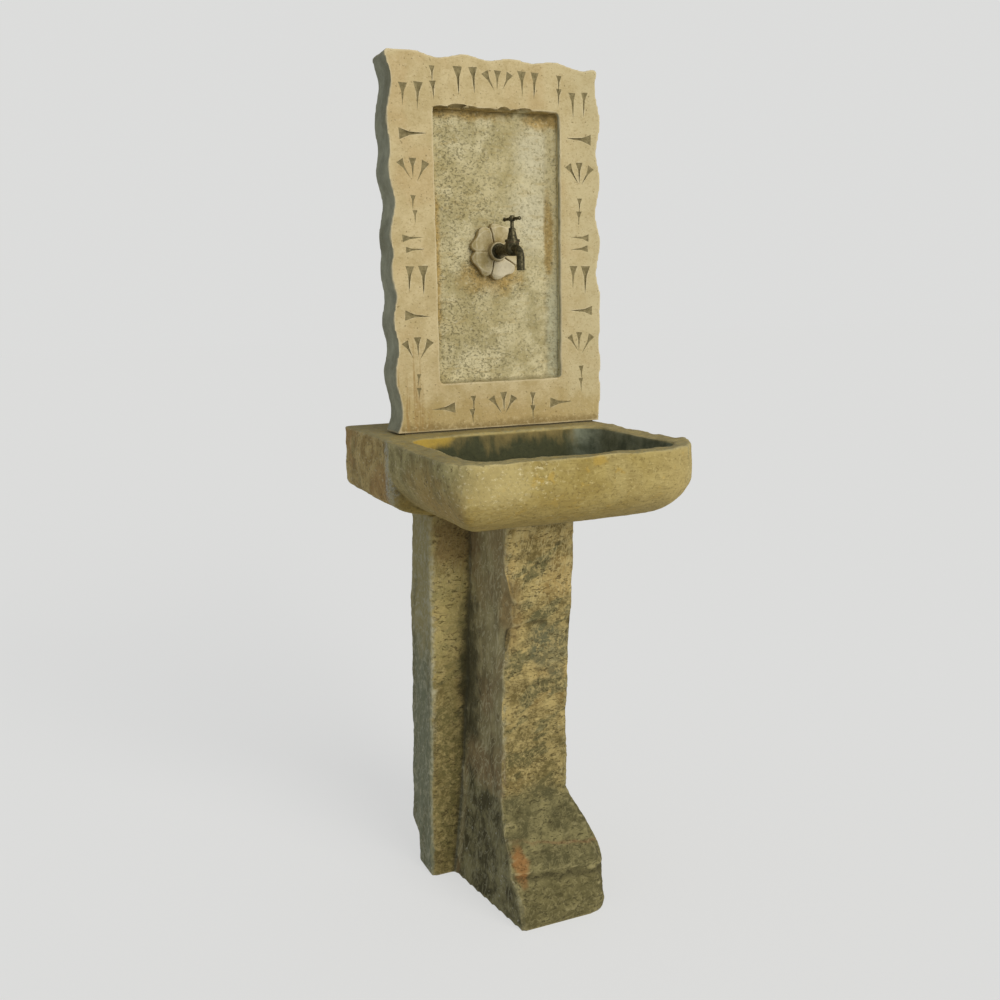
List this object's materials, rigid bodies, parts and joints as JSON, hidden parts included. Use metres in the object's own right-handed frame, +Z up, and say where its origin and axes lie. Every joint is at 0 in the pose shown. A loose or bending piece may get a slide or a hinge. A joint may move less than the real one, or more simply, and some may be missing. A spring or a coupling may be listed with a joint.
{
  "type": "wall fountain",
  "caption": "Limestone wall fountain: tall panel with wavy edges, a sunk field and a flower round a screw-down bib tap, above a rounded stone basin on a rough T-shaped pedestal",
  "frame": {"origin": "on the ground, under the middle of the basin", "axes": "+Z up, -Y to the front where the bowl and tap face, +X to the right seen from the front"},
  "size_m": [0.5356, 0.698, 1.738],
  "materials": {
    "pedestal_stone": "rough hewn, weathered, with grey-green stains",
    "basin_stone": "worn smooth, mottled",
    "panel_stone": "rubbed border, pecked field",
    "mortar": "lime mortar",
    "steel": "plain",
    "tap_bronze": "dark bronze patina",
    "brass": "plain",
    "aged_brass": "tarnished",
    "copper": "dull copper",
    "rubber": "matte",
    "fibre": "pressed fibre",
    "packing": "greased hemp",
    "grey_plastic": "plain pipe"
  },
  "bodies": {
    "fountain": {"pedestal": "pedestal_stone", "basin_bed": "mortar", "basin_dowels": "steel", "basin": "basin_stone", "panel_bed": "mortar", "panel_dowels": "steel", "back_panel": "panel_stone", "tap_body": "tap_bronze", "tap_flange": "tap_bronze", "bonnet_gasket": "fibre", "tap_bonnet": "tap_bronze", "gland_packing": "packing", "gland_nut": "tap_bronze", "supply_elbow": "brass", "supply_riser": "copper", "riser_clips": "brass", "clip_studs": "steel", "supply_union": "brass", "waste_strainer": "aged_brass", "waste_seal": "rubber", "waste_washer": "rubber", "waste_backnut": "brass", "waste_pipe": "grey_plastic", "waste_spigot": "grey_plastic"},
    "jumper": {"jumper_valve": "brass", "tap_washer": "rubber", "washer_nut": "brass"},
    "spindle": {"tap_spindle": "tap_bronze", "tap_handle": "tap_bronze", "handle_screw": "tap_bronze"}
  },
  "joints": [
    {"name": "jumper_lift", "type": "slide", "parent": "fountain", "child": "jumper", "axis": [0, 0, 1], "range_m": [0, 0.0046]},
    {"name": "spindle_turn", "type": "hinge", "parent": "jumper", "child": "spindle", "pos_m": [0.025, 0.041, 1.349], "axis": [0, 0, 1], "range_deg": [0, 540]}
  ],
  "couplings": [
    {"joint": "jumper_lift", "follows": "spindle_turn", "m_per_rad": 0.00047746}
  ]
}
